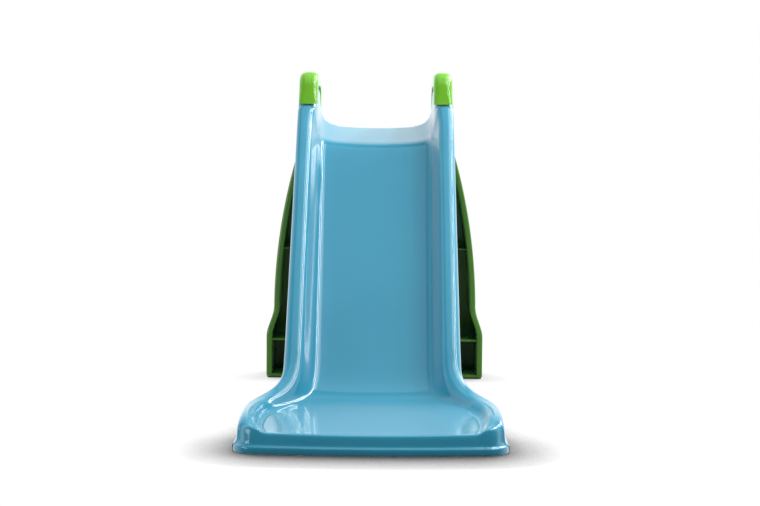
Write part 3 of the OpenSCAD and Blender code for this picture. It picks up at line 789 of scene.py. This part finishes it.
def edge_path(corners):
    """The straight runs and rounded corners of one edge, sampled so that both edges pair up."""
    a, b, c, d = [np.array(p[:2], float) for p in corners]
    tip, corner, top, far_corner, leg = GRIP_SPANS
    first = bezier_corner(a, b, c, corners[1][2], corner)
    second = bezier_corner(b, c, d, corners[2][2], far_corner)
    return np.vstack([np.linspace(a, first[0], tip)[:-1], first,
                      np.linspace(first[-1], second[0], top)[1:-1],
                      second, np.linspace(second[-1], d, leg)[1:]])


def grip_loop(inner, outer, inset):
    """One closed section of the arch across its width."""
    thick = np.linalg.norm(outer - inner)
    soft = min(1.0, thick / GRIP_DEPTH)
    low, high = inset, thick - inset
    near, far = GRIP[0] + inset, GRIP[1] - inset
    loop = rounded_outline([(near, low, GRIP_ROUND_IN[0] * soft), (far, low, GRIP_ROUND_OUT[0] * soft),
                            (far, high, GRIP_ROUND_OUT[1] * soft), (near, high, GRIP_ROUND_IN[1] * soft)], 8)
    toward = (outer - inner) / thick
    return np.array([(x, *(inner + h * toward)) for x, h in loop])


def make_handrails():
    outer, inner = edge_path(GRIP_OUTER), edge_path(GRIP_INNER)
    arch = [grip_loop(i, o, 0) for i, o in zip(inner, outer)]
    arch[-1] = arch[-1] + (0, 0, GRIP_FOOT_RISE)
    tip = [grip_loop(inner[0], outer[0], inset) + (0, 0, rise) for inset, rise in GRIP_TIP[::-1]]
    foot = [grip_loop(inner[-1], outer[-1], inset) + (0, 0, rise) for inset, rise in GRIP_FOOT]
    for name, side in SIDES:
        build("handrail_" + name + "_arch", [loft(tip + arch + foot)],
              "green_shell", "ladder", ["handrail_" + name], side)


# ---- Ladder sides: channels with a rolled outer edge, closed at foot and head, with ribs inside ----
FOOT_HALF_WIDTH = cad_box[1][0] / MM
HEEL = (cad_box[1][1] - FRONT) / MM
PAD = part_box("foot_pad_left")[1].z / MM
LADDER_TOP = 506
SWEEP_START, SPLAY_RADIUS = 141, 1180
ROLLED_EDGE, LADDER_WALL = 12, 5
CHANNEL_FOOT, CHANNEL_NARROWING = 52, 14
# Roundings of the channel: its rolled edge, its back's outer and inner corners, and its hollow
ROLL_ROUND, BACK_OUTER_ROUND, BACK_INNER_ROUND, CHANNEL_HOLLOW_ROUND = 5.6, 9, 7, 4
# The channel's front and rear edges as [up, behind the lip]
FRONT_EDGE = [(95, HEEL - 110), (SWEEP_START, HEEL - 103), (480, HEEL - 101)]
REAR_EDGE = [(95, HEEL), (SWEEP_START, HEEL - 8), (440, HEEL - 51), (LADDER_TOP, HEEL - 53)]
# The last stretch leans in by HEAD_LEAN, to meet the handrail's leg
HEAD_START, HEAD_LEAN = 470, 1.7
# The boot's outer edge as [drawn in, up, reach], and how much narrower the ladder is above it
BOOT_STEP, BOOT_TOP = 15.5, 150
BOOT = [(0, 0, 0), (0, 95, 9), (3.5, 107, 6), (BOOT_STEP, SWEEP_START, 14), (BOOT_STEP + 0.4, 172, 0)]
BOOT_CORNERS = [(FOOT_HALF_WIDTH - drawn, z) for drawn, z, _ in BOOT]
BOOT_CURVES = [bezier_corner(*BOOT_CORNERS[k - 1:k + 2], BOOT[k][2], 6) for k in (1, 2, 3)]
BOOT_LINE = [(z, x) for x, z in np.vstack([BOOT_CORNERS[:1], *BOOT_CURVES])]
# Cross ribs inside each channel as [up, set back], their thickness, and how far plates sink into the walls
RIBS = [(79, 7), (271, 20)]
RIB = 3.5
INTO_WALL, INTO_ROLL = 2, 5
PLATE_SETBACK = 1.5
PIVOT_BOSS, SCREW_BOSS, SCREW_BOSS_PROUD = 15, 6.5, 1.5
# The height of each step's tread, from which its grip ridges stand up
RIDGE_RISE = 1.5
TREADS = [(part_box(node)[1].z / MM - RIDGE_RISE, node) for node in ("lower_step", "upper_step")]
STEP_HEIGHT = 42
SCREW_SPAN, SCREW_DROP = 34, 2
# Heights of the channel's sections: close together round the boot's corners, and even above them
BOOT_LEVELS = [20, 40, 60, 78, 84, 87, *range(90, 111, 2), 113, 117, 121, 125, *range(128, 147, 3), 150, 156]
UPPER_LEVELS = range(166, 500, 13)


def sweep_x(z):
    """The outer edge of the ladder, which sweeps in above the boot on a wide arc."""
    above = max(z - SWEEP_START, 0)
    return FOOT_HALF_WIDTH - BOOT_STEP - (SPLAY_RADIUS - math.sqrt(SPLAY_RADIUS ** 2 - above ** 2))


def inner_x(z):
    narrowing = CHANNEL_NARROWING * max(z - SWEEP_START, 0) / (LADDER_TOP - SWEEP_START)
    return sweep_x(z) - CHANNEL_FOOT + narrowing


def outer_x(z):
    return measure(z, BOOT_LINE) if z < BOOT_TOP else sweep_x(z)


def head_shift(z):
    return -HEAD_LEAN * (max(z - HEAD_START, 0) / (LADDER_TOP - HEAD_START)) ** 2


def channel_loop(z, inset):
    """The channel's section at height z, round the outside and back along the inside."""
    xo, xi = outer_x(z) + head_shift(z) - inset, inner_x(z) + head_shift(z) + inset
    f, r = measure(z, FRONT_EDGE) + inset, measure(z, REAR_EDGE) - inset
    e, w = ROLLED_EDGE - 2 * inset, LADDER_WALL - 2 * inset
    roll, tip, hollow = ROLL_ROUND - inset, w * 0.48, CHANNEL_HOLLOW_ROUND
    loop = rounded_outline([(xo, f, roll), (xo, r, BACK_OUTER_ROUND), (xi, r, BACK_INNER_ROUND), (xi, f, tip),
                            (xi + w, f, tip), (xi + w, r - w, hollow), (xo - e, r - w, hollow),
                            (xo - e, f, roll)], 6)
    return np.array([(x, y, z) for x, y in loop])


def cavity_slab(z0, z1, setback):
    """A plate across the inside of the channel, from z0 up to z1."""
    z = (z0 + z1) / 2
    x0 = inner_x(z) + head_shift(z) + INTO_WALL
    x1 = outer_x(z) + head_shift(z) - ROLLED_EDGE + INTO_ROLL
    y0, y1 = measure(z, FRONT_EDGE) + setback, measure(z, REAR_EDGE) - INTO_WALL
    return slab(rounded_outline([(x0, y0, 1), (x1, y0, 1), (x1, y1, 1), (x0, y1, 1)], 3), z0, z1, 2, 1.2)


def step_edges(top):
    """The front and rear edges of a step, which sits just inside the ladder sides' own edges."""
    return measure(top, FRONT_EDGE) + 1, measure(top, REAR_EDGE) - 3


def screw_places(top):
    """The two screws of a step's end, as [behind the lip, up]."""
    y, z = sum(step_edges(top)) / 2, top - STEP_HEIGHT / 2 - SCREW_DROP
    return [(y - SCREW_SPAN / 2, z), (y + SCREW_SPAN / 2, z)]


def boss(place, x0, x1, r, steps=40):
    """A round post along X at place, [behind the lip, up], with its end at x1 rounded."""
    return lathe([(x0, r), (x1 - 0.9, r), (x1 - 0.3, r - 0.3), (x1, r - 0.9)], place, steps)


def pivot_boss():
    """The hub that the pivot rod runs through, with rounded rims."""
    rim = [(0, 1.2), (0.4, 0.4), (1.2, 0)]
    inner = [(BOSS_FACE + s, PIVOT_BOSS - d) for s, d in rim]
    outer = [(CAP_AT - s, PIVOT_BOSS - d) for s, d in rim[::-1]]
    return lathe(inner + outer, PIVOT)


def make_ladder_sides():
    levels = ([(PAD, 1.6), (PAD + 0.5, 0.6), (PAD + 1.6, 0)]
              + [(z, 0) for z in (*BOOT_LEVELS, *UPPER_LEVELS)]
              + [(LADDER_TOP - 1.6, 0), (LADDER_TOP - 0.5, 0.5), (LADDER_TOP, 1.4)])
    parts = [loft([channel_loop(z, inset) for z, inset in levels]), pivot_boss(),
             cavity_slab(PAD + 0.2, PAD + LADDER_WALL, PLATE_SETBACK),
             cavity_slab(LADDER_TOP - LADDER_WALL, LADDER_TOP - 0.2, PLATE_SETBACK)]
    parts += [cavity_slab(z, z + RIB, setback) for z, setback in RIBS]
    for top, _ in TREADS:
        seat = inner_x(top - STEP_HEIGHT) + LADDER_WALL + SCREW_BOSS_PROUD
        parts += [boss(place, inner_x(place[1]) + INTO_WALL, seat, SCREW_BOSS) for place in screw_places(top)]
    for name, side in SIDES:
        build("ladder_" + name + "_rail", parts, "deep_green_shell", "ladder", ["ladder_side_" + name], side)


# ---- Steps: shells open underneath, with grip ridges that fade out towards the ends ----
RIDGES, RIDGE_RADIUS = 5, 2.5
RIDGE_INSET = 18
# Places of a ridge's points across its middle
RIDGE_OFFSETS = (-2.9, -2.3, -2.05, -1.6, -0.9, 0, 0.9, 1.6, 2.05, 2.3, 2.9)
NOSING = 10
EDGE_ROUND, HOLLOW_ROUND = 2.2, 5
END_GAP = 0.35
# End walls and ribs inside a step: how far they stay in from its skin, and how high above its lower edge
PLATE_INSET, PLATE_ROUND = 2.5, 0.9
END_WALL_IN, END_WALL_UP = 0.3, 1.2
STEP_RIB, STEP_RIB_UP = 4, 6
STEP_BOSS, STEP_BOSS_DEPTH = 6, 24
# Sections from a step's end inwards as [in from the end, drawn in, share of the ridges' rise]
STEP_SECTIONS = [(0, 1.4, 0), (0.4, 0.5, 0), (1.3, 0, 0), (RIDGE_INSET - 0.6, 0, 0), (RIDGE_INSET, 0, 0.35),
                 (RIDGE_INSET + 0.8, 0, 0.75), (RIDGE_INSET + 2, 0, 0.95), (RIDGE_INSET + 3.5, 0, 1),
                 (RIDGE_INSET + 40, 0, 1), (RIDGE_INSET + 80, 0, 1)]


def ridge_rise(off):
    """How far a grip ridge stands above the tread at off from its middle: the cap of a circle."""
    return max(math.sqrt(max(RIDGE_RADIUS ** 2 - off * off, 0)) - (RIDGE_RADIUS - RIDGE_RISE), 0)


def step_loop(top, inset, ridge_share):
    """The step's section as [behind the lip, up]: over the tread, then back along the inside."""
    first, last = step_edges(top)
    front, rear, low = first + inset, last - inset, top - STEP_HEIGHT
    high, w = top - inset, LADDER_WALL - inset
    front_in, rear_in, high_in = front + w, rear - w, top - LADDER_WALL
    tread = []
    for k in range(1, RIDGES + 1):
        middle = first + (last - first) * k / (RIDGES + 1)
        tread += [(middle + off, high + ridge_rise(off) * ridge_share) for off in RIDGE_OFFSETS]
    return np.vstack([
        bezier_corner((front_in, low), (front, low), (front, high), EDGE_ROUND, 4),
        bezier_corner((front, low), (front, high), (rear, high), NOSING, 8),
        tread,
        bezier_corner((front, high), (rear, high), (rear, low), NOSING, 8),
        bezier_corner((rear, high), (rear, low), (rear_in, low), EDGE_ROUND, 4),
        bezier_corner((rear, low), (rear_in, low), (rear_in, high), EDGE_ROUND, 4),
        bezier_corner((rear_in, low), (rear_in, high_in), (front, high_in), HOLLOW_ROUND, 5),
        bezier_corner((rear, high_in), (front_in, high_in), (front_in, low), HOLLOW_ROUND, 5),
        bezier_corner((front_in, high), (front_in, low), (front, low), EDGE_ROUND, 4)])


def step_half(z, drawn_in):
    """Half the length of a step at height z, less drawn_in."""
    return inner_x(z) - END_GAP - drawn_in


def plate_outline(top, raised):
    """The outline of a plate inside the step, from raised above the step's lower edge."""
    first, last = step_edges(top)
    front, rear = first + PLATE_INSET, last - PLATE_INSET
    low, high = top - STEP_HEIGHT + raised, top - PLATE_INSET
    return rounded_outline([(front, low, 2), (front, high, 6), (rear, high, 6), (rear, low, 2)], 4)


def cross_rib(top, x):
    return slab(plate_outline(top, STEP_RIB_UP), x - STEP_RIB / 2, x + STEP_RIB / 2, 0, PLATE_ROUND)


def end_wall(top, side):
    """The wall at one end of a step, which leans with the ladder side."""
    half = LADDER_WALL / 2
    points, faces = slab(plate_outline(top, END_WALL_UP), -half, half, 0, PLATE_ROUND)
    return [(side * (step_half(z, END_WALL_IN + half) + x), y, z) for x, y, z in points], faces


def step_boss(place, side):
    """A boss inside the step's end, which takes a screw."""
    points, faces = boss(place, 0, STEP_BOSS_DEPTH, STEP_BOSS, 32)
    return points * (-side, 1, 1) + (side * inner_x(place[1]), 0, 0), faces


def step_end(top, side):
    """The step's sections from one end to where its ridges have their full rise."""
    return [[(side * step_half(z, drawn), y, z) for y, z in step_loop(top, inset, share)]
            for drawn, inset, share in STEP_SECTIONS]


def make_steps():
    for top, node in TREADS:
        parts = [loft(step_end(top, -1) + step_end(top, 1)[::-1])]
        parts += [end_wall(top, side) for side in (-1, 1)]
        parts += [cross_rib(top, x * inner_x(top) / 2) for x in (-1, 0, 1)]
        parts += [step_boss(place, side) for side in (-1, 1) for place in screw_places(top)]
        build(node + "_tread", parts, "deep_green_shell", "ladder", [node])


# ---- Foot pads: soft slabs with cross grooves underneath ----
PAD_GROOVES, PAD_MARGIN = 7, 14
GROOVE_DEPTH, GROOVE_HALF, GROOVE_SLOPE = 0.9, 1.8, 0.7
# A pad's rounded ends as [in from the end, narrower on each side]
PAD_ROUND = [(0, 5), (0.4, 3.4), (1.5, 1.7), (3.5, 0.5), (6, 0)]
PAD_EDGE, PAD_END_EDGE, PAD_SOLE_EDGE, GROOVE_SIDE = 0.7, 0.9, 5, 0.6


def pad_loop(y, x0, x1, narrow, cut):
    """A pad's section at y, with its sole cut away between its edges."""
    a, b = x0 + narrow, x1 - narrow
    edge = PAD_EDGE if narrow < PAD_ROUND[0][1] else PAD_END_EDGE
    left, right = a + PAD_SOLE_EDGE, b - PAD_SOLE_EDGE
    sole = [(a, 0.8), (a + edge, 0.05), (left, 0), (left + GROOVE_SIDE, cut),
            (right - GROOVE_SIDE, cut), (right, 0), (b - edge, 0.05), (b, 0.8)]
    top = [(b, PAD - 0.7), (b - edge, PAD), (a + edge, PAD), (a, PAD - 0.7)]
    return [(x, y, z) for x, z in sole + top]


def make_pads():
    low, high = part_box("foot_pad_right")
    x0, x1 = low.x / MM, high.x / MM
    y0, y1 = (low.y - FRONT) / MM, (high.y - FRONT) / MM
    grooves = np.linspace(y0 + PAD_MARGIN, y1 - PAD_MARGIN, PAD_GROOVES)
    places = [(y0 + s, narrow) for s, narrow in PAD_ROUND]
    places += [(g + off, 0) for g in grooves for off in (-GROOVE_HALF, -1.1, 0, 1.1, GROOVE_HALF)]
    places += [(y1 - s, narrow) for s, narrow in PAD_ROUND[::-1]]
    loops = []
    for y, narrow in places:
        near = min(abs(y - g) for g in grooves)
        cut = GROOVE_DEPTH * min(max((GROOVE_HALF - near) / GROOVE_SLOPE, 0), 1)
        loops.append(pad_loop(y, x0, x1, narrow, cut))
    for name, side in SIDES:
        build("pad_" + name, [loft(loops)], "pad_rubber", "ladder", ["foot_pad_" + name], side, sharp=50)


# ---- Finish ----
def finish_cad_nodes():
    """The CAD nodes that stay visible take the finish of their slot."""
    slots = {row["node"]: row["material_slot"] for row in frame["record"]["subparts"]}
    for name, node in frame["nodes"].items():
        node.data.materials.clear()
        node.data.materials.append(MATERIAL_OF[slots[name]])


make_camera()
make_world()
make_floor()
make_lights()
finish_cad_nodes()
make_chute()
make_pivot()
make_handrails()
make_ladder_sides()
make_steps()
make_pads()
